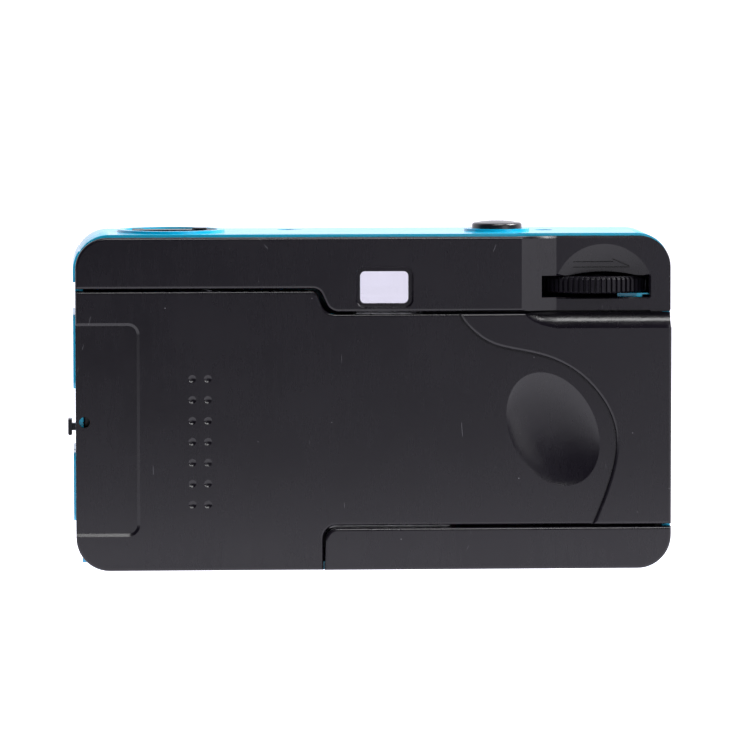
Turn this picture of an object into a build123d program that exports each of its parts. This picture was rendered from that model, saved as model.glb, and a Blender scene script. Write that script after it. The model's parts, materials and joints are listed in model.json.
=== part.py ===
"""Simple reloadable half frame camera, in millimetres.

+X is the user's right with the back of the camera towards them, +Y points out of the lens, +Z is up.
The origin is on the base plane, under the middle of the body.
"""

import math
import os

from build123d import *

# Body envelope
BODY_W = 110.0
BODY_H = 62.0
COVER_H = 61.5
BACK_Y = -15.0
SEAM_Y = -13.0
FRONT_Y = 15.0
WALL = 1.4
SHELL_TOP_R = 6.2
SHELL_BOTTOM_R = 6.2
COVER_TOP_R = 5.8
FRONT_EDGE_R = 2.2
BACK_EDGE_R = 0.5
HALF_W = BODY_W / 2
PAD = 0.4
PAD_Z = ((9.2, 21.8), (33.6, 47.3))
TOP_PAD_Z = (53.3, 59.0)
SCREWS = ((-46.0, 9.0), (-46.0, -9.0), (30.0, 9.5), (48.0, -8.5))

# Back: seams, recessed wheel zone and bottom strip
BAND_Z_LEFT = 52.1
BAND_Z_RIGHT = 47.8
DOOR_Z_LEFT = 51.65
DOOR_Z_RIGHT = 47.35
RAMP_X0 = 27.2
RAMP_X1 = 33.8
ZONE_Y = -12.6
ZONE_BACK_Y = -11.2
ZONE_BEVEL = 0.4
STRIP_X = -9.0
STRIP_Z = 7.75
STRIP_GAP = 0.45
COVE_Z = 47.8
COVE_X0 = 27.7
COVE_END_X = 33.9
COVE_HALF_H = 3.25
COVE_DEPTH = 3.1

# Film path
FILM_Z = 26.3
FILM_Y = -11.0
LENS_X = 1.75
GATE_W = 17.0
GATE_H = 24.0
CASSETTE_X = -37.1
CASSETTE_R = 12.9
CASSETTE_WALL_R = 13.5
CASSETTE_RIGHT = CASSETTE_X + CASSETTE_WALL_R
CHAMBER_Z0 = 2.6
CASSETTE_Z1 = 50.0
DECK_LEFT_Z = 51.4
TAKEUP_Z1 = 46.5
DECK_Z = 48.0
FLOOR_Z = 1.6
CHASSIS_BACK_Y = -12.8
SPOOL_X = 41.1
SPOOL_Y = -2.0
TAKEUP_R = 11.2
TAKEUP_WALL_R = 12.0
SPROCKET_X = 21.0
SPROCKET_Y = -4.9
REWIND_BUTTON_Y = 6.0

# Winding wheel and its slot
WHEEL_R = 12.2
WHEEL_Z0 = 50.95
WHEEL_Z1 = 54.0
WHEEL_TEETH = 76
PAWL_X = 27.0
PAWL_Y = 8.6
PAWL_Z0 = 52.0
PAWL_Z1 = 53.6
SLOT = (31.0, 51.1, 50.15, 54.2)
SCOOP_X = 42.65
SCOOP_Z = 50.7
SCOOP_R = 9.33
SCOOP_BACK = 30.0
ARCH = ((36.0, 54.1), (42.6, 54.9), (49.2, 54.1))

# Finder
EYE = (-2.6, 6.3, 49.3, 55.2)
BEZEL = (-3.1, 6.9, 48.8, 55.75)
EYEPIECE = (-3.2, 6.9, 48.85, 55.75)
TUNNEL = (-3.2, 8.6, 47.4, 55.7)
TUNNEL_WALL = 0.6
MASK_HOLE = (-1.9, 8.4, 47.45, 55.5)
FINDER_FRONT = (-5.2, 9.6, 47.0, 56.8)

# Top controls
BUTTON_X = 23.7
BUTTON_R = 4.65
BUTTON_RING_R = 6.1
LEVER_X = 17.7
LEVER_Z = 49.2
REWIND_R = 8.7
REWIND_RING_R = 10.0
CRANK_X = -6.1
CRANK_Z = 61.85
GRIP_X = 5.3
RING_Z = 62.45
WELL_Z0 = 58.4
WELL_Z1 = 59.4
COUNTER_X = 32.6
COUNTER_Y = 2.0
DIAL_X = 38.6
DIAL_R = 8.5
LAMP_X = -15.4
LAMP_Y = 6.4
COUNTER_R = 1.7
DIAL_PIN_R = 0.8

# Flash, battery and lens
FLASH = (-30.0, -8.5, 51.8, 59.1)
BATTERY_X = -16.6
BATTERY_Y = 6.8
BATTERY_R = 5.6
BATTERY_WALL_R = 6.2
BATTERY_HINGE_X = -23.8
BATTERY_HINGE_Z = 0.85
BARREL_R = 10.6
FLASH_RING_R = 14.4
LENS_TIP_Y = 24.0

# Door hinge, latch and thumb dish
HINGE_X = 53.85
HINGE_Y = -13.25
HINGE_R = 1.15
LUG_R = 0.75
HINGE_PIN_R = 0.4
RIB_Z0 = 43.6
LUG_Z = ((14.0, 17.0), (37.0, 40.0))
LATCH_Z = (24.7, 27.7)
LATCH_SEAT_Z = 5.0
LATCH_TRAVEL = 3.5
LATCH_NECK_Z = 26.2
LATCH_NECK_HALF = 0.65
HOOK_Z = (20.0, 38.0)
STEP = 0.45
GROOVE_W = 0.25
GROOVE_DEPTH = 0.3
STEP_LINE = (
    (15.5, 49.2), (15.8, 47.3), (17.8, 44.5), (21.2, 42.0), (26.8, 40.45), (31.4, 39.4), (36.9, 36.8),
    (41.1, 32.9), (43.9, 28.2), (44.8, 24.35), (44.1, 18.3), (42.3, 12.75), (40.6, 8.6), (39.3, 5.4),
)
DISH_X = 33.06
DISH_Z = 25.9
DISH_AXES = (7.9, 11.1)
DISH_TILT = 27.0
DISH_DEPTH = 2.5
DISH_BACK = 1.0
DOT_X = (-33.55, -30.67)
DOT_Z0 = 12.3
DOT_PITCH = 3.867
DOT_ROWS = 7
DOT_R = 1.0
DOT_DEPTH = 0.3
PANEL = (-60.0, -43.75, 6.95, 45.3)
PANEL_SLOPE = 0.55
PANEL_DEPTH = 0.4


def span(x0, x1, y0, y1, z0, z1):
    """A box between six planes."""
    middle = ((x0 + x1) / 2, (y0 + y1) / 2, (z0 + z1) / 2)
    return Pos(*middle) * Box(x1 - x0, y1 - y0, z1 - z0)


def post(x, y, z0, z1, r):
    """An upright round bar."""
    return Pos(x, y, (z0 + z1) / 2) * Cylinder(r, z1 - z0)


def rod(x, z, y0, y1, r):
    """A round bar along Y."""
    return Pos(x, (y0 + y1) / 2, z) * Rot(90, 0, 0) * Cylinder(r, y1 - y0)


def bar(y, z, x0, x1, r):
    """A round bar along X."""
    return Pos((x0 + x1) / 2, y, z) * Rot(0, 90, 0) * Cylinder(r, x1 - x0)


def slab(sketch, y0, y1):
    """A sketch drawn in X and Z, given thickness from y0 to y1."""
    return extrude(Plane.XZ.offset(-y1) * sketch, amount=y1 - y0)


def plan(sketch, z0, z1):
    """A sketch drawn in X and Y, given height from z0 to z1."""
    return extrude(Plane.XY.offset(z0) * sketch, amount=z1 - z0)


def rounded(x0, x1, z0, z1, r):
    """A rectangle with round corners."""
    return Pos((x0 + x1) / 2, (z0 + z1) / 2) * RectangleRounded(x1 - x0, z1 - z0, r)


def outline(half_w, z0, z1, top_r, bottom_r):
    """The body's rounded outline in X and Z."""
    face = Pos(0, (z0 + z1) / 2) * Rectangle(2 * half_w, z1 - z0)
    face = fillet(face.vertices().group_by(Axis.Y)[-1], top_r)
    return fillet(face.vertices().group_by(Axis.Y)[0], bottom_r)


def polygon(points):
    """A closed flat face through points."""
    return make_face(Polyline(*points, close=True))


def turned_up(x, y, points):
    """A profile of radius and height turned about an upright axis."""
    face = make_face(Plane.XZ * Polyline(*points, close=True))
    return Pos(x, y, 0) * revolve(face, Axis.Z)


def turned_out(points):
    """A profile of radius and depth turned about the lens axis."""
    face = make_face(Plane.XY * Polyline(*points, close=True))
    return Pos(LENS_X, 0, FILM_Z) * revolve(face, Axis.Y)


def coil(x, y, z0, z1, r, wire, turns):
    """A compression spring with its axis upright."""
    height = z1 - z0 - 2 * wire
    path = Helix(height / turns, height, r)
    profile = Plane(origin=path @ 0, z_dir=path % 0) * Circle(wire)
    return Pos(x, y, z0 + wire) * sweep(profile, path=path, is_frenet=True)


def band_region(z_left, z_right, x_high, x_low, r_high, r_low):
    """Everything above the stepped seam between the fixed cover and the door."""
    points = ((-60, z_left), (x_high, z_left), (x_low, z_right), (60, z_right), (60, 70), (-60, 70))
    face = polygon(points)
    corners = face.vertices().sort_by_distance((x_high, z_left))[0]
    face = fillet(corners, r_high)
    corners = face.vertices().sort_by_distance((x_low, z_right))[0]
    return fillet(corners, r_low)


def strip_region(gap):
    """The fixed strip along the bottom of the back, grown by gap."""
    z1 = STRIP_Z + gap
    x0 = STRIP_X - gap
    points = ((x0 - 0.35 + gap, -5), (60, -5), (60, z1), (x0, z1))
    face = polygon(points)
    corner = face.vertices().sort_by_distance((x0, z1))[0]
    return fillet(corner, 2.4)


def inside_slab(y0, y1):
    """The room inside the shell, between two depths."""
    w = WALL + 0.1
    return slab(outline(HALF_W - w, w, BODY_H - w, SHELL_TOP_R - w, SHELL_BOTTOM_R - w), y0, y1)


def cover_outline():
    """The outline of the whole black back."""
    return outline(HALF_W, 0, COVER_H, COVER_TOP_R, SHELL_BOTTOM_R)


def skin(sketch, y0):
    """A piece of the black back with its rear edges rounded."""
    blank = slab(sketch, y0, SEAM_Y)
    return fillet(blank.faces().sort_by(Axis.Y)[0].edges(), BACK_EDGE_R)


def funnel(box, corner, grow, y0, y1):
    """A cutter that narrows from a grown rectangle at y0 to the rectangle at y1."""
    x0, x1, z0, z1 = box
    wide = rounded(x0 - grow, x1 + grow, z0 - grow, z1 + grow, corner + grow)
    return loft([Plane.XZ.offset(-y0) * wide, Plane.XZ.offset(-y1) * rounded(*box, corner)])


def zone_section(grow):
    """Plan of the recessed wheel zone that is open to the right, made deeper by grow."""
    right = 60
    deep = ZONE_Y + grow
    return polygon(((RAMP_X0, -20), (RAMP_X0, BACK_Y), (RAMP_X1, deep), (right, deep), (right, -20)))


def zone_cutter():
    """The room over the ramp and the wheel zone, wider at the very top to bevel the edge."""
    z0 = COVER_H - ZONE_BEVEL
    bevel = loft([Plane.XY.offset(z0) * zone_section(0), Plane.XY.offset(COVER_H) * zone_section(ZONE_BEVEL)])
    return plan(zone_section(0), 40, 70) + bevel


def scoop(extra):
    """The round shallow hollow above the wheel, deeper by extra, cut by a large ball behind the camera."""
    ball = Pos(SCOOP_X, ZONE_Y - SCOOP_BACK, SCOOP_Z) * Sphere(math.hypot(SCOOP_BACK, SCOOP_R) + extra)
    return ball & rod(SCOOP_X, SCOOP_Z, -30, 0, SCOOP_R) & span(20, 60, -30, 0, SLOT[3], 70)


def arrow():
    """A thin arrow that shows which way the wheel turns."""
    x0, x1 = 36.9, 47.4
    shaft_low = Pos((x0 + x1) / 2, 55.75) * Rectangle(x1 - x0, 0.22)
    shaft_high = Pos((x0 + 44.4) / 2, 56.75) * Rectangle(44.4 - x0, 0.22)
    head = polygon(((44.3, 57.4), (x1, 56.1), (x1 - 0.1, 55.85), (44.2, 57.15)))
    return shaft_low + shaft_high + head


def rear_cover():
    """The fixed black band with the finder opening and the wheel slot."""
    region = band_region(BAND_Z_LEFT, BAND_Z_RIGHT, -10.1, -8.1, 1.9, 2.4)
    body = skin(cover_outline() & region, BACK_Y)
    body += slab(cover_outline() & region, SEAM_Y, ZONE_BACK_Y) & span(RAMP_X0 - 0.7, 60, -20, 0, 40, 70)
    body += span(32.6, 52.7, ZONE_BACK_Y, -8.2, SLOT[3], 60.4) & inside_slab(-12, -8)
    body += slab(cover_outline(), -11.6, -10.75) & span(51.3, 60, -20, 0, DOOR_Z_RIGHT + 0.1, BAND_Z_RIGHT + 0.4)
    body -= zone_cutter()
    body -= scoop(0)
    body -= slab(arrow(), -20, -5) & scoop(0.2)
    body -= span(SLOT[0], SLOT[1], -20, -5, SLOT[2], SLOT[3])
    body -= funnel(SLOT, 0.3, 0.3, ZONE_Y - 0.01, ZONE_Y + 0.35)
    body -= slab(make_face(ThreePointArc(*ARCH) + Line(ARCH[2], ARCH[0])), -20, -5)
    body -= funnel(BEZEL, 1.2, 0.35, BACK_Y - 0.01, BACK_Y + 0.5)
    body -= slab(rounded(*EYE, 0.9), BACK_Y - 1, SEAM_Y + 1)
    body -= slab(rounded(*EYEPIECE, 0.7), BACK_Y + 1.1, SEAM_Y + 1)
    return body


def bottom_strip():
    """The fixed strip under the door."""
    return skin(cover_outline() & strip_region(0), BACK_Y)


def dish():
    """A tilted oval lens shape whose centre is behind the door."""
    spread = 1 / math.sqrt(1 - (DISH_BACK / DISH_DEPTH) ** 2)
    width, height = DISH_AXES
    ball = scale(Sphere(1), by=(width * spread, DISH_DEPTH, height * spread))
    return Pos(DISH_X, BACK_Y + STEP - DISH_BACK, DISH_Z) * Rot(0, -DISH_TILT, 0) * ball


def cove():
    """The hollow along the door's upper right edge, with a blunt pointed left end."""
    reach = 9.5
    middle = COVE_X0 + reach
    place = Pos(middle, BACK_Y + 0.1, COVE_Z)
    match = math.sqrt(1 - ((middle - COVE_END_X) / reach) ** 2)
    ball = scale(Sphere(1), by=(reach, COVE_DEPTH / match, COVE_HALF_H / match))
    tip = (place * ball) & span(0, COVE_END_X, -30, 0, 30, 60)
    section = Pos(BACK_Y + 0.1, COVE_Z) * Ellipse(COVE_DEPTH, COVE_HALF_H)
    return tip + extrude(Plane.YZ.offset(COVE_END_X) * section, amount=60 - COVE_END_X)


def door_hinge(door):
    """Adds the barrel along the right edge and clears the fixed lugs."""
    door += post(HINGE_X, HINGE_Y, STRIP_Z + STRIP_GAP, 43.9, HINGE_R)
    for low, high in LUG_Z:
        door -= post(HINGE_X, HINGE_Y, low - 0.15, high + 0.15, LUG_R + 0.12)
        door -= span(HINGE_X - 0.45, 60, HINGE_Y - 0.6, -5, low - 0.15, high + 0.15)
        door -= span(HINGE_X - HINGE_R - 0.1, HINGE_X, SEAM_Y, -5, low - 0.15, high + 0.15)
    return door - post(HINGE_X, HINGE_Y, 0, 43.7, HINGE_PIN_R)


def door_hook(z):
    """A catch that the latch holds."""
    shank = span(-52.3, -51.2, SEAM_Y - 0.5, -9.4, z + 2.4, z + 4.0)
    return shank + span(-52.3, -51.2, -10.4, -9.4, z, z + 2.4)


def step_points(grow):
    """The points of the door's curved step, moved to the lower side by grow."""
    moved = []
    for before, here, after in zip(STEP_LINE[:1] + STEP_LINE, STEP_LINE, STEP_LINE[1:] + STEP_LINE[-1:]):
        dx, dz = after[0] - before[0], after[1] - before[1]
        length = math.hypot(dx, dz)
        moved.append((here[0] + grow * dz / length, here[1] - grow * dx / length))
    return moved


def upper_region(grow):
    """The side of the door to the right of the curved step, grown past the step by grow."""
    points = step_points(grow)
    return make_face(Spline(*points) + Polyline(points[-1], (60, 5.0), (60, 49.6), points[0]))


def door_skin():
    """The door's plate: a lower left part, a curved groove and a sloped wall up to the right part."""
    region = band_region(DOOR_Z_LEFT, DOOR_Z_RIGHT, -10.7, -9.0, 1.5, 2.6)
    face = cover_outline() - region - strip_region(STRIP_GAP)
    upper = skin(face & upper_region(0), BACK_Y)
    lower_y = BACK_Y + STEP
    lower = skin(face, lower_y)
    lower -= slab(upper_region(GROOVE_W), lower_y - 1, lower_y + GROOVE_DEPTH)
    return lower + upper


def back_door():
    """The hinged film door."""
    door = door_skin()
    lower_y = BACK_Y + STEP
    door -= funnel(PANEL, 1.6, PANEL_SLOPE, lower_y - 0.01, lower_y + PANEL_DEPTH)
    door += slab(Pos(DISH_X, DISH_Z) * Rot(0, 0, DISH_TILT) * Ellipse(8.6, 11.8), SEAM_Y - 0.5, -12.1)
    door += span(27.0, HALF_W, SEAM_Y - 0.5, -11.3, RIB_Z0, DOOR_Z_RIGHT)
    door -= dish()
    door -= cove()
    for x in DOT_X:
        for row in range(DOT_ROWS):
            door -= Pos(x, lower_y + DOT_DEPTH - DOT_R, DOT_Z0 + row * DOT_PITCH) * Sphere(DOT_R)
    door -= rod(-53.4, 27.5, -20, SEAM_Y + 0.5, 1.0)
    for z in HOOK_Z:
        door += door_hook(z)
    return door_hinge(door)


def side_pads():
    """Shallow raised grips on the left side of the shell."""
    pads = []
    for z0, z1 in PAD_Z:
        pad = rounded(-12.6, 10.5, z0, z1, 1.2)
        pads.append(extrude(Plane.YZ.offset(0.7 - HALF_W) * pad, amount=-(PAD + 0.7)))
    wrap = slab(outline(HALF_W + PAD, 0, BODY_H, SHELL_TOP_R + PAD, SHELL_BOTTOM_R), -12.6, 10.5)
    pads.append(wrap & span(-60, -53, -20, 20, *TOP_PAD_Z))
    return pads


def shell_blank():
    """The hollow body with its grips and the two raised rings."""
    shell = slab(outline(HALF_W, 0, BODY_H, SHELL_TOP_R, SHELL_BOTTOM_R), SEAM_Y, FRONT_Y)
    shell = fillet(shell.faces().sort_by(Axis.Y)[-1].edges(), FRONT_EDGE_R)
    for pad in side_pads():
        shell += pad
    shell += post(CASSETTE_X, 0, BODY_H - 0.5, RING_Z, REWIND_RING_R)
    shell += post(BUTTON_X, 0, BODY_H - 0.5, RING_Z, BUTTON_RING_R)
    inside = outline(HALF_W - WALL, WALL, BODY_H - WALL, SHELL_TOP_R - WALL, SHELL_BOTTOM_R - WALL)
    return shell - slab(inside, SEAM_Y - 1, FRONT_Y - WALL)


def shell_top(shell):
    """Cuts the rewind well and the holes of the top controls."""
    shell += post(CASSETTE_X, 0, WELL_Z0, BODY_H - 0.5, REWIND_RING_R)
    shell -= post(CASSETTE_X, 0, WELL_Z1, 70, REWIND_R)
    shell -= post(CASSETTE_X, 0, 50, 70, 2.35)
    shell -= post(BUTTON_X, 0, 50, 70, BUTTON_R + 0.15)
    shell -= post(COUNTER_X, COUNTER_Y, 50, 70, COUNTER_R)
    shell -= post(LAMP_X, LAMP_Y, 50, 70, 1.2)
    shell -= post(LAMP_X, LAMP_Y, BODY_H - 0.5, 70, 1.7)
    mark = polygon(((LAMP_X, LAMP_Y - 1.6), (LAMP_X + 3.2, LAMP_Y), (LAMP_X, LAMP_Y + 1.6)))
    shell -= plan(mark, BODY_H - 0.5, 70)
    shell += post(DIAL_X, COUNTER_Y, 59.5, BODY_H - WALL, 2.0)
    return shell + post(DIAL_X, COUNTER_Y, 56.6, BODY_H - WALL, DIAL_PIN_R)


def shell_front(shell):
    """Cuts the openings for the lens, the flash and the finder."""
    shell -= rod(LENS_X, FILM_Z, 5, 20, BARREL_R)
    shell -= slab(rounded(*FLASH, 0.8), 5, 20)
    return shell - slab(rounded(*FINDER_FRONT, 0.8), 5, 20)


def shell_right_edge(shell):
    """Clears the wheel zone, the door's hinge and its rib, and adds the spring tab by the wheel."""
    shell -= span(RAMP_X0 - 0.7, 60, -20, ZONE_BACK_Y, BAND_Z_RIGHT - 0.2, 70)
    shell -= span(52.5, 60, -20, -11.7, STRIP_Z + 0.2, DOOR_Z_RIGHT + 0.2)
    shell -= span(51, 60, -20, -10.7, RIB_Z0 - 0.3, BAND_Z_RIGHT + 0.5)
    for low, high in LUG_Z:
        shell -= span(53, 54.4, -20, -10.8, low - 0.1, high + 0.1)
    shell += span(45.3, 49.9, -10.9, -9.6, 50.1, 50.8)
    return shell + span(49.7, 54.0, -10.9, -9.6, 50.55, 50.8)


def shell_base(shell):
    """Cuts the battery opening, the rewind button's hole and the screw holes."""
    shell -= span(-23.2, -10.0, 0.4, 13.2, -1, 2)
    shell -= span(BATTERY_HINGE_X - 0.9, -23.0, 3.8, 10.0, -1, 2)
    shell -= rod(BATTERY_HINGE_X, BATTERY_HINGE_Z, 2.4, 11.4, 0.35)
    shell -= post(SPROCKET_X, REWIND_BUTTON_Y, -1, 2, 2.15)
    for x, y in SCREWS:
        shell -= post(x, y, -1, 1.0, 1.5)
    return shell


def front_shell():
    """The glossy front, top, side and bottom moulding."""
    shell = shell_front(shell_top(shell_blank()))
    shell = shell_right_edge(shell_base(shell))
    shell += span(-53.8, -50.7, -7.4, -4.6, 1.0, LATCH_SEAT_Z)
    low, high = LATCH_NECK_Z - LATCH_NECK_HALF, LATCH_NECK_Z + LATCH_NECK_HALF
    slot = slab(rounded(-56, -50, low - LATCH_TRAVEL - 0.3, high + 0.3, 0.5), -7.3, -4.7)
    return shell - slot


def front_trim():
    """The dark plate that frames the flash and the finder on the front."""
    plate = slab(rounded(-32.6, 11.4, 45.6, 60.0, 2.6), FRONT_Y, FRONT_Y + 0.9)
    plate -= slab(rounded(*FLASH, 0.8), 5, 20)
    return plate - slab(rounded(*FINDER_FRONT, 0.8), 5, 20)


def cassette_chamber():
    """The film cassette's side of the film frame."""
    z0, z1 = FLOOR_Z, DECK_LEFT_Z
    left, right = CASSETTE_X - CASSETTE_R, CASSETTE_X + CASSETTE_R
    body = post(CASSETTE_X, 0, z0, z1, CASSETTE_WALL_R)
    body += span(CASSETTE_X - CASSETTE_WALL_R, CASSETTE_RIGHT, CHASSIS_BACK_Y, 0, z0, z1)
    body -= post(CASSETTE_X, 0, CHAMBER_Z0, CASSETTE_Z1, CASSETTE_R)
    body -= span(left, right, -20, 0, CHAMBER_Z0, CASSETTE_Z1)
    body -= span(right - 0.4, right + 1.6, -20, -10.5, 7.0, 45.6)
    body -= span(-60, 0, -20, CHASSIS_BACK_Y, 0, 60)
    return body - post(CASSETTE_X, 0, CASSETTE_Z1 - 1, z1 + 1, 2.3)


def film_gate():
    """The plate with the half frame opening and the film rails."""
    plate = span(CASSETTE_RIGHT, 29.1, FILM_Y, FILM_Y + 1.4, 4.0, TAKEUP_Z1)
    for side in (-1, 1):
        z = FILM_Z + side * 18.1
        plate += span(-12.5, 15.0, FILM_Y - 0.2, FILM_Y, z - 0.5, z + 0.5)
    plate -= slab(Pos(LENS_X, FILM_Z) * Rectangle(GATE_W, GATE_H), -20, 0)
    return plate - span(15.4, 26.6, -20, 0, 6.4, 46.0)


def light_box():
    """The tapered hollow between the film gate and the shutter."""
    y0, y1 = FILM_Y + 1.4, 6.0
    wall = 1.2
    rear = Plane.XZ.offset(-y0)
    front = Plane.XZ.offset(-y1)
    place = Pos(LENS_X, FILM_Z)
    outer = loft([
        rear * place * Rectangle(GATE_W + 2 * wall, GATE_H + 2 * wall),
        front * place * Rectangle(10 + 2 * wall, 12 + 2 * wall),
    ])
    inner = loft([rear * place * Rectangle(GATE_W, GATE_H), front * place * Rectangle(10, 12)])
    flange = span(-9.6, 13.1, y1 - 1.0, y1, 12.0, 40.6)
    flange -= span(LENS_X - 5.4, LENS_X + 5.4, y1 - 2, y1 + 1, FILM_Z - 6.4, FILM_Z + 6.4)
    x, z = blade_pivot()
    return outer + flange - inner + rod(x, z, y1, 8.4, 0.7)


def takeup_chamber():
    """The winding side of the film frame, with the deck and the hinge lugs."""
    z0, z1 = FLOOR_Z, DECK_Z
    body = post(SPOOL_X, SPOOL_Y, z0, z1, TAKEUP_WALL_R)
    body += span(29.1, 53.4, CHASSIS_BACK_Y, SPOOL_Y, z0, z1)
    body -= post(SPOOL_X, SPOOL_Y, CHAMBER_Z0, TAKEUP_Z1, TAKEUP_R)
    body -= span(29.9, 52.3, -20, SPOOL_Y, CHAMBER_Z0, TAKEUP_Z1)
    body -= span(29.0, 30.2, -20, -8.0, 5.0, 45.6)
    body -= span(52.2, 54.0, -20, -11.9, 0, 60) + span(0, 60, -20, CHASSIS_BACK_Y, 0, 60)
    body &= inside_slab(-20, 14)
    body -= span(26, 54, -20, -10.7, RIB_Z0 - 0.4, 49)
    body -= post(SPOOL_X, SPOOL_Y, TAKEUP_Z1 - 1, z1 + 1, 2.6)
    body -= post(SPOOL_X, SPOOL_Y, 0, CHAMBER_Z0 + 1, 1.6)
    for low, high in LUG_Z:
        body += hinge_lug(low, high)
    return body


def hinge_lug(low, high):
    """A fixed eye for the door's pin, on its bent arm."""
    lug = post(HINGE_X, HINGE_Y, low, high, LUG_R)
    lug += span(HINGE_X - 0.35, HINGE_X + 0.35, HINGE_Y, -10.9, low, high)
    lug += span(52.3, HINGE_X + 0.35, -11.6, -10.9, low, high)
    return lug - post(HINGE_X, HINGE_Y, low - 1, high + 1, HINGE_PIN_R + 0.05)


def frame_floor():
    """The floor and the deck that tie the two chambers together."""
    floor = span(CASSETTE_RIGHT, 29.1, -10.6, 13.4, FLOOR_Z, CHAMBER_Z0)
    floor -= post(BATTERY_X, BATTERY_Y, 0, 9, BATTERY_WALL_R)
    floor -= post(SPROCKET_X, SPROCKET_Y, 0, 9, 1.55)
    floor -= post(SPROCKET_X, REWIND_BUTTON_Y, 0, 9, 2.15)
    return floor


def frame_deck():
    """The deck under the release parts, with a lower shelf under the finder."""
    deck = span(9.6, 29.1, FILM_Y, 11.5, TAKEUP_Z1, DECK_Z)
    deck += span(9.6, 10.8, FILM_Y + 1.5, 11.5, 45.2, DECK_Z)
    deck += span(-9.6, 10.8, FILM_Y + 1.5, 11.5, 45.2, 46.5)
    deck -= post(SPROCKET_X, SPROCKET_Y, 40, 50, 1.55)
    deck -= span(18.6, 25.6, -2.0, 2.0, 40, 50)
    deck += post(PAWL_X, PAWL_Y, DECK_Z, PAWL_Z0 - 0.2, 1.5)
    return deck + post(PAWL_X, PAWL_Y, DECK_Z, 54.2, 0.9)


def mechanism_bridge():
    """The bridge that guides the release button and carries the lever."""
    plate = span(15.6, 28.0, -4.2, 4.2, 50.9, 51.8)
    for x, y in ((27.0, -3.4), (27.0, 3.4), (16.4, 3.4), (16.4, -3.4)):
        plate += post(x, y, DECK_Z, 51.0, 0.8)
    for side in (-1, 1):
        y = side * 2.6
        plate += span(LEVER_X - 0.7, LEVER_X + 0.7, y - 0.4, y + 0.4, 48.4, 51.0)
    plate += rod(LEVER_X, LEVER_Z, -3.0, 3.0, 0.3)
    return plate - post(BUTTON_X, 0, 50, 53, 1.5)


def release_lever():
    """The lever that the button presses."""
    z0, z1 = LEVER_Z - 0.45, LEVER_Z + 0.45
    body = span(10.6, 24.6, -1.6, 1.6, z0, z1)
    body += span(10.6, 12.4, 1.6, 8.2, z0, z1)
    return body - rod(LEVER_X, LEVER_Z, -5, 5, 0.35)


def shutter_button():
    """The low domed release button on its stem."""
    points = [(0, 50.0), (0.6, 50.0), (0.6, 50.6), (1.4, 50.6), (1.4, 58.6), (BUTTON_R, 58.6)]
    for step in range(7):
        angle = math.radians(90 * step / 6)
        points.append((BUTTON_R - 0.5 * (1 - math.cos(angle)), 63.0 + 0.5 * math.sin(angle)))
    points += [(2.6, 63.74), (1.3, 63.83), (0, 63.85)]
    return turned_up(BUTTON_X, 0, points)


def wheel_outline(teeth, r_out, r_in):
    """A knurled rim with flat-topped ribs."""
    points = []
    for tooth in range(teeth):
        for part, r in ((0.0, r_out), (0.5, r_out), (0.62, r_in), (0.88, r_in)):
            angle = 2 * math.pi * (tooth + part) / teeth
            points.append((r * math.cos(angle), r * math.sin(angle)))
    return polygon(points)


def advance_wheel():
    """The ribbed thumbwheel with its hub."""
    rim = plan(wheel_outline(WHEEL_TEETH, WHEEL_R, WHEEL_R - 0.5), WHEEL_Z0, WHEEL_Z1)
    bevel = 0.55
    mask = turned_up(0, 0, (
        (0, WHEEL_Z0), (WHEEL_R - 0.3, WHEEL_Z0), (WHEEL_R, WHEEL_Z0 + 0.3),
        (WHEEL_R, WHEEL_Z1 - bevel), (WHEEL_R - bevel, WHEEL_Z1), (0, WHEEL_Z1),
    ))
    rim &= mask
    rim -= post(0, 0, WHEEL_Z1 - 0.8, 60, 9.0) - post(0, 0, 50, 60, 4.0)
    rim += post(0, 0, DECK_Z + 0.4, WHEEL_Z0, 3.4)
    return Pos(SPOOL_X, SPOOL_Y, 0) * rim


def takeup_spool():
    """The spool that winds the exposed film."""
    spool = post(0, 0, 4.0, 45.6, 7.0)
    spool += post(0, 0, 4.0, 5.2, 9.0) + post(0, 0, 44.4, 45.6, 9.0)
    spool -= span(-20, 20, -0.9, 0.9, 9.0, 41.0)
    spool += post(0, 0, 45.6, DECK_Z + 0.4, 2.52)
    spool += post(0, 0, FLOOR_Z + 0.2, 4.0, 1.52)
    for z in (12.0, 25.4, 38.8):
        spool += span(-0.6, 0.6, -8.1, -6.0, z, z + 1.6)
    return Pos(SPOOL_X, SPOOL_Y, 0) * spool


def ratchet_pawl():
    """The pawl that stops the wheel from turning back."""
    tip = Pos(PAWL_X, PAWL_Y) * Rot(0, 0, -60.0) * Pos(2.6, 0) * Rectangle(5.2, 1.6)
    body = plan(tip + Pos(PAWL_X, PAWL_Y) * Circle(1.9), PAWL_Z0, PAWL_Z1)
    return body - post(PAWL_X, PAWL_Y, 50, 55, 0.95)


def sprocket_wheel():
    """The toothed roller that counts perforations."""
    body = post(0, 0, FLOOR_Z + 0.2, 50.0, 1.5) + post(0, 0, 7.0, 45.4, 4.4)
    for side in (-1, 1):
        z = FILM_Z + side * 14.1
        body += post(0, 0, z - 1.6, z + 1.6, 5.9)
        for tooth in range(8):
            body += Rot(0, 0, 45.0 * tooth + 22.5) * span(5.5, 6.5, -0.8, 0.8, z - 0.9, z + 0.9)
    return Pos(SPROCKET_X, SPROCKET_Y, 0) * body


def counter_dial():
    """The frame counter's disc."""
    dial = post(0, 0, 58.2, 59.2, DIAL_R) + post(0, 0, 57.0, 58.2, 2.0)
    return Pos(DIAL_X, COUNTER_Y, 0) * (dial - post(0, 0, 50, 70, 0.85))


def counter_window():
    """The clear pane over the counter."""
    return post(COUNTER_X, COUNTER_Y, 60.8, 61.9, COUNTER_R)


def ready_lamp():
    """The flash ready lamp."""
    return post(LAMP_X, LAMP_Y, 59.5, 61.6, 1.2)


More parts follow.
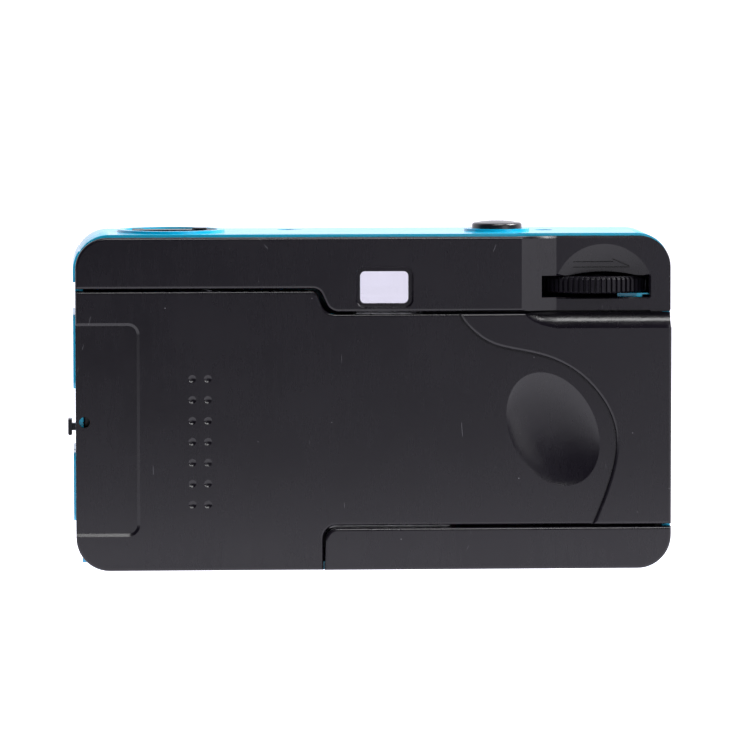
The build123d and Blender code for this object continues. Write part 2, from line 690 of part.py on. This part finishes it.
def rewind_collar():
    """The sleeve that lets the rewind shaft be pulled up."""
    ring = post(CASSETTE_X, 0, 52.0, 53.2, 3.8)
    return ring - post(CASSETTE_X, 0, 50, 60, 2.26)


def rewind_shaft():
    """The shaft and fork that turn the cassette spool."""
    shaft = post(0, 0, 49.9, WELL_Z1 + 0.2, 2.2)
    shaft += span(-2.1, 2.1, -0.6, 0.6, 46.4, 50.0)
    return Pos(CASSETTE_X, 0, 0) * shaft


def crank_disc():
    """The disc in the top that carries the crank."""
    disc = post(0, 0, WELL_Z1 + 0.2, CRANK_Z - 0.75, 8.35)
    for side in (-1, 1):
        y = side * 2.5
        disc += span(CRANK_X - 1.1, CRANK_X + 1.1, y - 0.55, y + 0.55, CRANK_Z - 0.8, CRANK_Z + 0.6)
    disc -= post(GRIP_X, 0, WELL_Z1 + 0.5, 70, 2.2)
    disc -= span(CRANK_X - 1.6, CRANK_X + 1.4, -1.9, 1.9, CRANK_Z - 1.5, 70)
    return Pos(CASSETTE_X, 0, 0) * (disc - rod(CRANK_X, CRANK_Z, -5, 5, 0.45))


def crank_pin():
    """The crank arm's hinge pin."""
    return rod(CASSETTE_X + CRANK_X, CRANK_Z, -3.05, 3.05, 0.45)


def crank_arm():
    """The folding crank arm."""
    arm = plan(Pos(0.5, 0) * SlotOverall(15.6, 3.4), CRANK_Z - 0.6, CRANK_Z + 0.55)
    arm -= rod(CRANK_X, CRANK_Z, -5, 5, 0.5)
    return Pos(CASSETTE_X, 0, 0) * (arm - post(GRIP_X, 0, 60, 64, 0.85))


def crank_grip():
    """The small finger grip that spins on the arm."""
    grip = post(GRIP_X, 0, 60.05, CRANK_Z - 0.7, 1.8) + post(GRIP_X, 0, 61, CRANK_Z + 0.7, 0.8)
    return Pos(CASSETTE_X, 0, 0) * (grip + post(GRIP_X, 0, CRANK_Z + 0.6, CRANK_Z + 0.85, 1.4))


def lens_barrel():
    """The fixed tube that holds the lens and the turning ring."""
    return turned_out((
        (8.9, 9.6), (8.9, 20.4), (BARREL_R, 20.4), (BARREL_R, 13.3), (11.8, 13.3), (11.8, 11.9),
        (BARREL_R, 11.9), (BARREL_R, 9.6),
    ))


def flash_ring():
    """The turning ring that switches the flash."""
    body = slab(Pos(LENS_X, FILM_Z) * wheel_outline(40, FLASH_RING_R, FLASH_RING_R - 0.6), 15.6, 20.0)
    body += rod(LENS_X, FILM_Z, 15.35, 15.6, 13.2)
    body += span(LENS_X - 1.4, LENS_X + 1.4, 15.6, 20.0, FILM_Z + 13, FILM_Z + 15.6)
    return body - rod(LENS_X, FILM_Z, 10, 25, BARREL_R + 0.3)


def trim_ring():
    """The bright ring that keeps the turning ring on."""
    return turned_out((
        (9.6, 20.4), (13.2, 20.4), (13.2, 21.2), (11.6, 22.6), (10.2, LENS_TIP_Y), (9.6, LENS_TIP_Y),
    ))


def lens_cone():
    """The stepped black cone around the front element."""
    points = [(5.9, 10.4), (8.9, 10.4), (8.9, 20.4), (9.6, 20.4), (9.6, 23.4)]
    for ring in range(5):
        r = 9.0 - 0.6 * ring
        y = 23.4 - ring
        points += [(r, y), (r, y - 1.0)]
    points += [(6.1, 18.4), (5.9, 17.8)]
    return turned_out(points)


def lens_cell():
    """The tube that holds the two lens elements."""
    return turned_out((
        (3.4, 10.4), (5.9, 10.4), (5.9, 18.6), (4.5, 18.6), (4.5, 15.4), (3.4, 15.4), (3.4, 13.6),
        (4.1, 13.6), (4.1, 11.6), (3.4, 11.6),
    ))


def lens_disc(y0, y1, r, bulge):
    """A glass element with curved faces."""
    points = [(0, y0 - bulge)]
    for step in range(1, 7):
        part = step / 6
        points.append((r * part, y0 - bulge * (1 - part * part)))
    for step in range(6, 0, -1):
        part = step / 6
        points.append((r * part, y1 + bulge * (1 - part * part)))
    points.append((0, y1 + bulge))
    return turned_out(points)


def front_element():
    """The front lens."""
    return lens_disc(16.0, 17.0, 4.5, 0.55)


def rear_element():
    """The rear lens."""
    return lens_disc(12.0, 13.2, 4.1, 0.35)


def retaining_ring():
    """The ring that holds the front lens."""
    return turned_out(((3.8, 17.7), (4.5, 17.0), (4.5, 18.5), (3.8, 18.5)))


def aperture_plate():
    """The plate with the fixed aperture."""
    disc = rod(LENS_X, FILM_Z, 9.6, 10.2, 8.8)
    return disc - rod(LENS_X, FILM_Z, 5, 15, 1.5)


def shutter_plate():
    """The plate that the shutter blade runs behind."""
    plate = span(-9.6, 13.1, 8.4, 9.4, 12.0, 40.6)
    for x in (-8.0, 11.5):
        for z in (13.6, 39.0):
            plate += rod(x, z, 6.0, 8.4, 1.3)
    return plate - rod(LENS_X, FILM_Z, 5, 15, 3.2)


def blade_pivot():
    """Where the shutter blade swings."""
    return LENS_X + 6.4, FILM_Z - 8.6


def shutter_blade():
    """The swinging shutter blade."""
    x, z = blade_pivot()
    face = Pos(LENS_X, FILM_Z) * Circle(4.3) + Pos(x, z) * Circle(1.9)
    face += polygon((
        (LENS_X - 2.6, FILM_Z - 3.4), (LENS_X + 4.0, FILM_Z + 1.2), (x + 1.7, z + 0.8), (x - 1.6, z - 0.9),
    ))
    return slab(face, 7.1, 7.6) - rod(x, z, 5, 10, 0.75)


def finder_tube():
    """The dark tunnel between the finder's two windows, with its front mask."""
    x0, x1, z0, z1 = TUNNEL
    w = TUNNEL_WALL
    tube = span(x0 - w, x1 + w, SEAM_Y + 0.05, 11.6, z0 - w, z1 + w)
    tube -= span(x0, x1, -20, 20, z0, z1)
    tube -= span(-20, 20, -20, SEAM_Y + 0.4, 0, BAND_Z_RIGHT + 0.1)
    tube += span(-5.4, 9.8, 11.6, 12.7, 46.6, 57.0)
    x0, x1, z0, z1 = MASK_HOLE
    return tube - span(x0, x1, 11, 20, z0, z1)


def finder_eyepiece():
    """The clear rear window."""
    x0, x1, z0, z1 = EYEPIECE
    return slab(rounded(x0 + 0.1, x1 - 0.1, z0 + 0.1, z1 - 0.1, 0.6), BACK_Y + 1.15, SEAM_Y)


def finder_front_lens():
    """The clear front window."""
    return slab(rounded(*FINDER_FRONT, 0.8), 13.0, FRONT_Y + 0.5)


def flash_window():
    """The ribbed flash pane."""
    pane = slab(rounded(*FLASH, 0.8), 13.7, FRONT_Y + 0.5)
    for rib in range(9):
        x = FLASH[0] + 1.6 + rib * 2.3
        pane -= span(x, x + 0.8, FRONT_Y + 0.2, FRONT_Y + 1, FLASH[2] + 0.8, FLASH[3] - 0.8)
    return pane


def flash_reflector():
    """The bright trough behind the flash pane."""
    x0, x1, z0, z1 = FLASH
    body = span(x0 + 0.6, x1 - 0.6, 8.0, 13.6, z0 + 0.2, z1 - 0.2)
    trough = polygon(((9.0, 54.6), (9.0, 56.6), (14, z1 - 0.6), (14, z0 + 0.6)))
    return body - extrude(Plane.YZ.offset(x0 + 1.2) * trough, amount=x1 - x0 - 2.4)


def flash_tube():
    """The flash tube."""
    return bar(11.0, 55.6, FLASH[0] + 1.2, FLASH[1] - 1.2, 1.0)


def flash_board():
    """The flash circuit board."""
    return span(-25.4, -5.2, -11.0, 6.2, 52.2, 53.4)


def flash_capacitor():
    """The flash capacitor, lying on the board."""
    return bar(-7.0, 56.8, -25.0, -5.4, 3.4)


def battery_tube():
    """The battery's tube, open below."""
    tube = post(BATTERY_X, BATTERY_Y, FLOOR_Z, 49.2, BATTERY_WALL_R)
    return tube - post(BATTERY_X, BATTERY_Y, 0, 48.2, BATTERY_R)


def battery_contact():
    """The upper battery contact."""
    return post(BATTERY_X, BATTERY_Y, 47.6, 48.2, 3.5)


def battery_door():
    """The flap over the battery."""
    flap = span(-22.6, -10.2, 0.6, 13.0, 0.15, 1.35)
    flap += rod(BATTERY_HINGE_X, BATTERY_HINGE_Z, 4.0, 9.8, 0.65)
    flap += span(BATTERY_HINGE_X, -22.5, 4.0, 9.8, 0.2, 1.3)
    return flap - rod(BATTERY_HINGE_X, BATTERY_HINGE_Z, 0, 14, 0.4)


def battery_door_pin():
    """The flap's hinge pin."""
    return rod(BATTERY_HINGE_X, BATTERY_HINGE_Z, 2.4, 11.4, 0.35)


def battery_spring():
    """The lower battery contact, on the flap."""
    ring = post(BATTERY_X, BATTERY_Y, 1.35, 1.9, 4.2) + post(BATTERY_X, BATTERY_Y, 1.9, 2.5, 3.0)
    return ring + post(BATTERY_X, BATTERY_Y, 2.5, 3.0, 1.8)


def rewind_button():
    """The button in the base that frees the film for rewinding."""
    head = post(SPROCKET_X, REWIND_BUTTON_Y, 0.2, 4.2, 2.0)
    return head + post(SPROCKET_X, REWIND_BUTTON_Y, 2.8, 3.6, 2.9)


def hinge_pin():
    """The door's long hinge pin."""
    return post(HINGE_X, HINGE_Y, STRIP_Z + 1.0, 43.6, HINGE_PIN_R)


def pressure_plate():
    """The plate that holds the film flat."""
    plate = slab(rounded(-12.0, 15.0, 7.6, 45.0, 2.0), -12.1, -11.35)
    return plate


def door_springs():
    """The leaves behind the pressure plate and beside the cassette."""
    leaf = span(-8.0, 11.0, SEAM_Y, SEAM_Y + 0.25, 22.0, 30.0)
    for z in (15.0, 34.6):
        leaf += span(-2.0, 5.0, SEAM_Y, SEAM_Y + 0.25, z, z + 3.0)
    leaf += span(-1.0, 4.0, SEAM_Y, SEAM_Y + 0.25, 15.0, 37.6)
    return leaf + slab(rounded(-42.5, -30.5, 18.0, 34.0, 1.5), SEAM_Y, SEAM_Y + 0.3)


def latch_tab():
    """The latch's outside tab on its narrow neck."""
    low, high = LATCH_Z
    head = span(-56.4, -55.65, -8.0, -4.0, low, high)
    head = fillet(head.edges().filter_by(Axis.Y), 0.3)
    return head + span(-55.8, -53.3, -7.0, -5.0, LATCH_NECK_Z - LATCH_NECK_HALF, LATCH_NECK_Z + LATCH_NECK_HALF)


def door_latch():
    """The sliding latch with its outside tab."""
    body = span(-53.3, -52.6, -11.8, -3.0, 15.0, 43.0) + latch_tab()
    for z in HOOK_Z:
        body += span(-52.6, -51.2, -11.8, -10.6, z - 1.0, z + 2.0)
    return body


def case_screws():
    """The screws in the base."""
    group = []
    for x, y in SCREWS:
        screw = post(x, y, 0.1, 1.0, 1.35)
        screw -= span(x - 1.1, x + 1.1, y - 0.2, y + 0.2, -1, 0.5)
        screw -= span(x - 0.2, x + 0.2, y - 1.1, y + 1.1, -1, 0.5)
        group.append(screw)
    return Compound(children=group)


def button_spring():
    """The release button's return spring."""
    return coil(BUTTON_X, 0, 51.8, 58.6, 2.4, 0.25, 5)


def latch_spring():
    """The latch's return spring."""
    return coil(-51.9, -6.0, LATCH_SEAT_Z, 15.0, 0.8, 0.18, 7)


NODES = (
    front_shell, front_trim, rear_cover, bottom_strip, back_door, cassette_chamber, film_gate,
    light_box, takeup_chamber, frame_floor, frame_deck, mechanism_bridge, release_lever, shutter_button,
    advance_wheel, takeup_spool, ratchet_pawl, sprocket_wheel, counter_dial, counter_window, ready_lamp,
    rewind_collar, rewind_shaft, crank_disc, crank_pin, crank_arm, crank_grip, lens_barrel, flash_ring,
    trim_ring, lens_cone, lens_cell, front_element, rear_element, retaining_ring, aperture_plate,
    shutter_plate, shutter_blade, finder_tube, finder_eyepiece, finder_front_lens, flash_window,
    flash_reflector, flash_tube, flash_board, flash_capacitor, battery_tube, battery_contact,
    battery_door, battery_door_pin, battery_spring, rewind_button, hinge_pin, pressure_plate,
    door_springs, door_latch, case_screws, button_spring, latch_spring,
)

os.makedirs("parts", exist_ok=True)
for node in NODES:
    export_step(node(), f"parts/{node.__name__}.step")
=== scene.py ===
"""Looks of the half frame camera around its CAD frame."""

import json
import math

import bpy
from mathutils import Matrix, Vector

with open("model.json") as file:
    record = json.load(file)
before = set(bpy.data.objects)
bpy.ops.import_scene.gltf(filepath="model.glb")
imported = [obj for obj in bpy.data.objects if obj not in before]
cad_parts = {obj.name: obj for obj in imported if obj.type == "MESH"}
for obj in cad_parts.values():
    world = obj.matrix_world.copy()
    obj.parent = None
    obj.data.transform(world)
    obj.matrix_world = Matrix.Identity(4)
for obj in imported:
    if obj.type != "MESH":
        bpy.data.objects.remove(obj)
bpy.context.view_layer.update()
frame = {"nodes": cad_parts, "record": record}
NODES = frame["nodes"]


# ---------------------------------------------------------------- node helpers
class Nodes:
    """A short way to write a material's node tree."""

    def __init__(self, name):
        self.mat = bpy.data.materials.new(name)
        self.mat.use_nodes = True
        self.tree = self.mat.node_tree
        self.shader = self.tree.nodes["Principled BSDF"]
        self.point = self.add("ShaderNodeTexCoord").outputs["Object"]

    def add(self, kind, **values):
        node = self.tree.nodes.new(kind)
        for key, value in values.items():
            setattr(node, key, value)
        return node

    def link(self, a, b):
        self.tree.links.new(a, b)

    def set(self, **values):
        for key, value in values.items():
            self.shader.inputs[key.replace("_", " ")].default_value = value

    def mapped(self, scale):
        node = self.add("ShaderNodeMapping")
        node.inputs["Scale"].default_value = scale
        self.link(self.point, node.inputs["Vector"])
        return node.outputs["Vector"]

    def noise(self, scale, detail=2.0, rough=0.5, vector=None):
        node = self.add("ShaderNodeTexNoise")
        node.inputs["Scale"].default_value = scale
        node.inputs["Detail"].default_value = detail
        node.inputs["Roughness"].default_value = rough
        self.link(vector or self.point, node.inputs["Vector"])
        return node.outputs["Fac"]

    def cells(self, scale, feature="F1", vector=None):
        node = self.add("ShaderNodeTexVoronoi", feature=feature)
        node.inputs["Scale"].default_value = scale
        self.link(vector or self.point, node.inputs["Vector"])
        return node.outputs["Distance"]

    def ramp(self, source, low, high, a=0.0, b=1.0):
        node = self.add("ShaderNodeMapRange")
        node.inputs["From Min"].default_value = low
        node.inputs["From Max"].default_value = high
        node.inputs["To Min"].default_value = a
        node.inputs["To Max"].default_value = b
        self.link(source, node.inputs["Value"])
        return node.outputs["Result"]

    def math(self, kind, a, b):
        node = self.add("ShaderNodeMath", operation=kind)
        for socket, value in zip(node.inputs, (a, b)):
            if isinstance(value, (int, float)):
                socket.default_value = value
            else:
                self.link(value, socket)
        return node.outputs["Value"]

    def mix(self, factor, a, b):
        node = self.add("ShaderNodeMix", data_type="RGBA")
        self.link(factor, node.inputs[0])
        for socket, value in zip((node.inputs[6], node.inputs[7]), (a, b)):
            if isinstance(value, tuple):
                socket.default_value = (*value, 1.0)
            else:
                self.link(value, socket)
        return node.outputs[2]

    def bump(self, height, strength, distance, under=None):
        node = self.add("ShaderNodeBump")
        node.inputs["Strength"].default_value = strength
        node.inputs["Distance"].default_value = distance
        self.link(height, node.inputs["Height"])
        if under is not None:
            self.link(under, node.inputs["Normal"])
        return node.outputs["Normal"]

    def out(self, color=None, rough=None, normal=None):
        if color is not None:
            self.link(color, self.shader.inputs["Base Color"])
        if rough is not None:
            self.link(rough, self.shader.inputs["Roughness"])
        if normal is not None:
            self.link(normal, self.shader.inputs["Normal"])
        return self.mat


DUST = (0.30, 0.30, 0.32)
HAIR = (0.22, 0.22, 0.24)


def plastic(name, color, pale, rough, grain, grain_depth, dust, hairs, shine):
    """Moulded plastic with a fine grain, uneven gloss, faint rubs, dust and hair scratches."""
    n = Nodes(name)
    n.set(IOR=1.5, Specular_IOR_Level=shine)
    clouds = n.noise(60.0, 4.0, 0.6)
    rubs = n.noise(900.0, 3.0, 0.7, vector=n.mapped((1.0, 1.0, 0.12)))
    specks = n.ramp(n.cells(420.0), 0.05, 0.03)
    rare = n.ramp(n.noise(140.0, 1.0), 0.60, 0.66)
    dots = n.math("MULTIPLY", n.math("MULTIPLY", specks, rare), dust)
    tone = n.mix(n.ramp(clouds, 0.3, 0.7, 0.0, 1.0), color, pale)
    tone = n.mix(dots, tone, DUST)
    if hairs:
        edges = n.cells(38.0, "DISTANCE_TO_EDGE", vector=n.mapped((1.0, 1.0, 0.45)))
        lines = n.ramp(edges, 0.0016, 0.0006)
        where = n.ramp(n.noise(260.0, 1.0), 0.66, 0.70)
        tone = n.mix(n.math("MULTIPLY", n.math("MULTIPLY", lines, where), hairs), tone, HAIR)
    uneven = n.ramp(clouds, 0.3, 0.7, rough - 0.03, rough + 0.04)
    gloss = n.math("ADD", uneven, n.ramp(rubs, 0.45, 0.8, 0.0, 0.05))
    normal = n.bump(n.noise(grain, 3.0, 0.6), 0.35, grain_depth)
    normal = n.bump(n.noise(45.0, 2.0), 0.2, 0.00006, under=normal)
    return n.out(tone, gloss, normal)


def metal(name, color, rough, brushed):
    """Metal with fine drawn lines and slightly uneven colour."""
    n = Nodes(name)
    n.set(Metallic=1.0)
    lines = n.noise(2600.0, 3.0, 0.6, vector=n.mapped(brushed))
    clouds = n.noise(150.0, 3.0)
    tone = n.mix(n.ramp(clouds, 0.3, 0.7), color, tuple(c * 0.82 for c in color))
    gloss = n.ramp(lines, 0.3, 0.7, rough - 0.05, rough + 0.1)
    return n.out(tone, gloss, n.bump(lines, 0.15, 0.00002))


def clear(name, color):
    """Clear moulded plastic with a nearly perfect polish."""
    n = Nodes(name)
    n.set(IOR=1.49, Transmission_Weight=1.0)
    clouds = n.noise(120.0, 3.0)
    tone = n.mix(n.ramp(clouds, 0.3, 0.7), color, tuple(min(1.0, c * 1.03) for c in color))
    return n.out(tone, n.ramp(clouds, 0.3, 0.7, 0.02, 0.04), n.bump(n.noise(40.0), 0.05, 0.00003))


# Each plastic: colour, paler colour, roughness, grain scale, grain depth, dust, hair scratches, specular level.
PLASTICS = {
    "blue_shell": ((0.0, 0.32, 0.50), (0.002, 0.34, 0.53), 0.16, 1500.0, 0.000008, 0.12, 0.0, 0.5),
    "black_gloss": ((0.006, 0.0055, 0.007), (0.009, 0.008, 0.011), 0.20, 1500.0, 0.00001, 0.35, 0.0, 0.5),
    "black_satin": ((0.0032, 0.0025, 0.0046), (0.0044, 0.0036, 0.0060), 0.255, 5200.0, 0.00002, 0.4, 0.30, 0.32),
    "black_matte": ((0.006, 0.006, 0.007), (0.009, 0.009, 0.010), 0.62, 3000.0, 0.00004, 0.35, 0.0, 0.5),
    # Painted shade: the advance wheel gets a darker, less glossy copy of black_satin that stands in for the
    # shade inside its slot.
    "wheel_black_painted_shade": ((0.0030, 0.0024, 0.0042), (0.004, 0.0034, 0.0055), 0.30, 5200.0, 0.00002, 0.3, 0.0, 0.16),
    "white_plastic": ((0.62, 0.62, 0.60), (0.68, 0.68, 0.66), 0.4, 2500.0, 0.00002, 0.35, 0.0, 0.5),
    "board": ((0.015, 0.11, 0.05), (0.02, 0.14, 0.06), 0.45, 2500.0, 0.00003, 0.35, 0.0, 0.5),
}
# Each metal: colour, roughness, and the stretch of its drawn lines along X, Y and Z.
METALS = {
    "steel": ((0.55, 0.55, 0.56), 0.32, (1.0, 1.0, 0.05)),
    "bright_metal": ((0.80, 0.80, 0.82), 0.12, (1.0, 0.05, 1.0)),
}
CLEAR = {"clear_plastic": (0.775, 0.77, 0.81), "lens_plastic": (0.93, 0.95, 0.98)}

MATERIALS = {name: plastic(name, *values) for name, values in PLASTICS.items()}
MATERIALS.update({name: metal(name, *values) for name, values in METALS.items()})
MATERIALS.update({name: clear(name, color) for name, color in CLEAR.items()})


def dress(obj, slot):
    """Gives a CAD node its material."""
    mat = MATERIALS[slot]
    if not obj.material_slots:
        obj.data.materials.append(mat)
    for s in obj.material_slots:
        s.material = mat


for part in frame["record"]["subparts"]:
    dress(NODES[part["node"]], part["material_slot"])
# The advance wheel wears the darker copy of black satin as painted shade for its slot.
dress(NODES["advance_wheel"], "wheel_black_painted_shade")


# Nodes whose edges are rounded, with the width in metres.
SOFT_EDGES = {"advance_wheel": 0.00008, "front_shell": 0.00015, "shutter_button": 0.0001}
WELD = 0.000002


def soften(name, width):
    """Rounds a CAD node's edges with modifiers only."""
    obj = NODES[name]
    weld = obj.modifiers.new("weld", "WELD")
    weld.merge_threshold = WELD
    bevel = obj.modifiers.new("bevel", "BEVEL")
    bevel.width = width
    bevel.segments = 3
    bevel.limit_method = "ANGLE"
    bevel.angle_limit = math.radians(30.0)
    bevel.use_clamp_overlap = True
    bevel.harden_normals = True


for name, width in SOFT_EDGES.items():
    soften(name, width)

# ---------------------------------------------------------------- stage
# The floor's glow in front of the object, around it, behind it, and far in front on the left and on the right.
# The strong glow close around the object is painted light that washes out the object's cast shadow on the floor.
FLOOR_COLOR = (1.0, 0.975, 1.09, 1.0)
FLOOR_GLOW = 0.34
FLOOR_NEAR = 1.6
FLOOR_BEHIND = 0.9
FLOOR_FAR = 0.02
FLOOR_FAR_RIGHT = 1.7
WALL_COLOR = (1.0, 0.985, 1.07, 1.0)
WALL_GLOW = 1.15
ROOM_DARK = 0.04
ROOM_RIGHT = 0.12
MIDDLE = (0.0, 0.0, 0.03)
LIGHTS = (
    ("softbox_right", (0.60, -0.05, 0.60), MIDDLE, (0.4, 0.4), 12.0),
    ("softbox_top", (0.10, -0.38, 0.70), MIDDLE, (0.45, 0.24), 5.0),
    ("panel_right", (0.62, -0.80, 0.16), (0.0, -0.02, 0.03), (0.5, 0.32), 0.7),
)
PLACE = Vector((-0.0567, -1.07374, 0.11107))
AIM = Vector((0.0001, -0.015, 0.0361))
FOCAL = 276.95
ROLL = -0.054


def area(name, place, target, size, power):
    """A soft rectangular light, turned to its target."""
    data = bpy.data.lights.new(name, "AREA")
    data.shape = "RECTANGLE"
    data.size, data.size_y = size
    data.energy = power
    lamp = bpy.data.objects.new(name, data)
    bpy.context.collection.objects.link(lamp)
    lamp.location = place
    lamp.rotation_euler = (Vector(target) - Vector(place)).to_track_quat("-Z", "Y").to_euler()


def floor_material():
    """A pale floor that glows softly near the object as painted light that hides its cast shadow, and is dark
    far in front of it on the left.
    """
    n = Nodes("floor")
    n.set(Roughness=0.7, Emission_Color=FLOOR_COLOR)
    split = n.add("ShaderNodeSeparateXYZ")
    n.link(n.point, split.inputs["Vector"])
    y = split.outputs["Y"]
    far = n.ramp(y, -0.27, -0.38)
    side = n.ramp(split.outputs["X"], -0.02, 0.20, FLOOR_FAR, FLOOR_FAR_RIGHT)
    # Painted light: the floor glows strongest close around the object, so the object's cast shadow does not
    # show.
    near = n.ramp(y, -0.16, -0.07, FLOOR_GLOW, FLOOR_NEAR)
    near = n.math("SUBTRACT", near, n.ramp(y, 0.10, 0.30, 0.0, FLOOR_NEAR - FLOOR_BEHIND))
    near = n.math("MULTIPLY", n.math("SUBTRACT", 1.0, far), near)
    glow = n.math("ADD", n.math("MULTIPLY", far, side), near)
    n.link(glow, n.shader.inputs["Emission Strength"])
    pale = n.mix(n.noise(3.0, 2.0), (0.34, 0.34, 0.34), (0.36, 0.36, 0.36))
    return n.out(n.mix(far, pale, (0.10, 0.10, 0.10)))


def studio():
    """The floor, the room around it and the lights."""
    mesh = bpy.data.meshes.new("floor")
    near, far, side = -6.0, 6.0, 5.0
    mesh.from_pydata([(-side, near, 0), (side, near, 0), (side, far, 0), (-side, far, 0)], [], [(0, 1, 2, 3)])
    floor = bpy.data.objects.new("floor", mesh)
    bpy.context.collection.objects.link(floor)
    mesh.materials.append(floor_material())
    room()
    for light in LIGHTS:
        area(*light)


def room():
    """A white wall behind the object and a dim room around the camera, brighter to the right."""
    world = bpy.data.worlds.new("studio")
    bpy.context.scene.world = world
    world.use_nodes = True
    tree = world.node_tree
    where = tree.nodes.new("ShaderNodeTexCoord")
    split = tree.nodes.new("ShaderNodeSeparateXYZ")
    tree.links.new(where.outputs["Generated"], split.inputs["Vector"])

    def smooth(socket, low, high, a, b):
        node = tree.nodes.new("ShaderNodeMapRange")
        node.interpolation_type = "SMOOTHSTEP"
        for key, value in (("From Min", low), ("From Max", high), ("To Min", a), ("To Max", b)):
            node.inputs[key].default_value = value
        tree.links.new(split.outputs[socket], node.inputs["Value"])
        return node.outputs["Result"]

    total = tree.nodes.new("ShaderNodeMath")
    tree.links.new(smooth("Y", -0.15, 0.35, ROOM_DARK, WALL_GLOW), total.inputs[0])
    tree.links.new(smooth("X", 0.05, 0.75, 0.0, ROOM_RIGHT), total.inputs[1])
    tree.nodes["Background"].inputs["Color"].default_value = WALL_COLOR
    tree.links.new(total.outputs["Value"], tree.nodes["Background"].inputs["Strength"])


def camera():
    """A long lens behind the object and a little above it."""
    data = bpy.data.cameras.new("camera")
    data.lens = FOCAL
    data.sensor_width = 36.0
    data.clip_end = 50.0
    cam = bpy.data.objects.new("camera", data)
    bpy.context.collection.objects.link(cam)
    cam.location = PLACE
    turn = (AIM - PLACE).to_track_quat("-Z", "Y").to_matrix() @ Matrix.Rotation(math.radians(ROLL), 3, "Z")
    cam.rotation_euler = turn.to_euler()
    bpy.context.scene.camera = cam


studio()
camera()
bpy.context.scene.view_settings.view_transform = "Standard"
